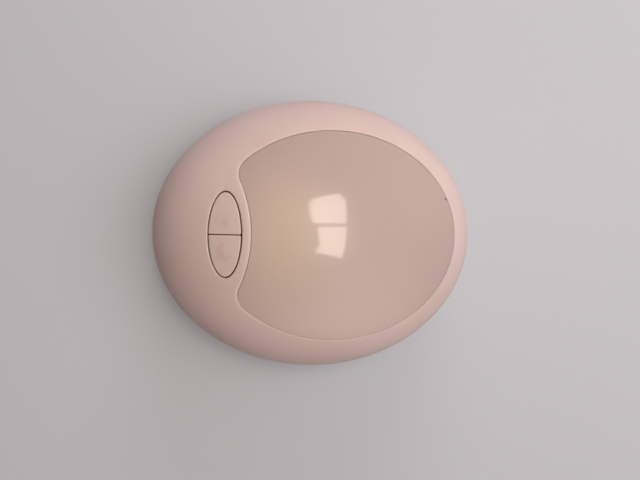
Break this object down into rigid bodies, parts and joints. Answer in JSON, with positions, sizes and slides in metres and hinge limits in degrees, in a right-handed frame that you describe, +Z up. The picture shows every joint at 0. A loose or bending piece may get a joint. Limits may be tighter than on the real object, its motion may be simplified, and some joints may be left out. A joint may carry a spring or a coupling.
{
  "type": "night light",
  "caption": "Battery night light: a domed elliptical pebble with a large opal lens, notched on one side round an oval pair of push keys.",
  "frame": {"origin": "on the table, under the middle of the outer form", "axes": "+Z up, +X along the length towards the lens end, +Y across, towards the upper key"},
  "size_m": [0.1, 0.0836, 0.044],
  "materials": {
    "housing": "satin moulded",
    "lens": "gloss opal, lets light through",
    "reflector": "matt white",
    "board": "satin solder mask",
    "component": "matt moulded",
    "emitter": "phosphor gel",
    "metal": "drawn",
    "screw": "zinc plated",
    "brass": "turned",
    "contact": "nickel plated",
    "cell": "plain sleeve",
    "lead_red": "satin insulation",
    "lead_black": "satin insulation",
    "rubber": "matt"
  },
  "bodies": {
    "housing": {"top_housing": "housing", "lens": "lens", "reflector_tray": "reflector", "circuit_board": "board", "warm_led_1": "emitter", "warm_led_2": "emitter", "warm_led_3": "emitter", "warm_led_4": "emitter", "driver_chip": "component", "resistors": "component", "filter_capacitor": "metal", "upper_switch_case": "component", "lower_switch_case": "component", "board_screws": "screw", "housing_screws": "screw", "base_housing": "housing", "door_screw_insert": "brass", "cell_1": "cell", "cell_2": "cell", "cell_3": "cell", "contact_positive": "contact", "contact_negative": "contact", "contact_bridge_front": "contact", "contact_bridge_rear": "contact", "battery_lead_red": "lead_red", "battery_lead_black": "lead_black", "rubber_foot_1": "rubber", "rubber_foot_2": "rubber", "rubber_foot_3": "rubber", "rubber_foot_4": "rubber"},
    "upper_key": {"upper_key": "housing", "upper_switch_plunger": "component"},
    "lower_key": {"lower_key": "housing", "lower_switch_plunger": "component"},
    "battery_door": {"battery_door": "housing"},
    "door_screw": {"door_screw": "screw"}
  },
  "joints": [
    {"name": "upper_key_press", "type": "slide", "parent": "housing", "child": "upper_key", "axis": [0, 0, -1], "range_m": [0, 0.0006], "stiffness_N_per_m": 1500, "springref_m": -0.0006},
    {"name": "lower_key_press", "type": "slide", "parent": "housing", "child": "lower_key", "axis": [0, 0, -1], "range_m": [0, 0.0006], "stiffness_N_per_m": 1500, "springref_m": -0.0006},
    {"name": "battery_door_open", "type": "hinge", "parent": "housing", "child": "battery_door", "pos_m": [-0.02675, 0, 0.001], "axis": [0, 1, 0], "range_deg": [0, 60]},
    {"name": "door_screw_turn", "type": "hinge", "parent": "battery_door", "child": "door_screw", "pos_m": [0.0304, 0, 0.003], "axis": [0, 0, 1], "continuous": true}
  ]
}
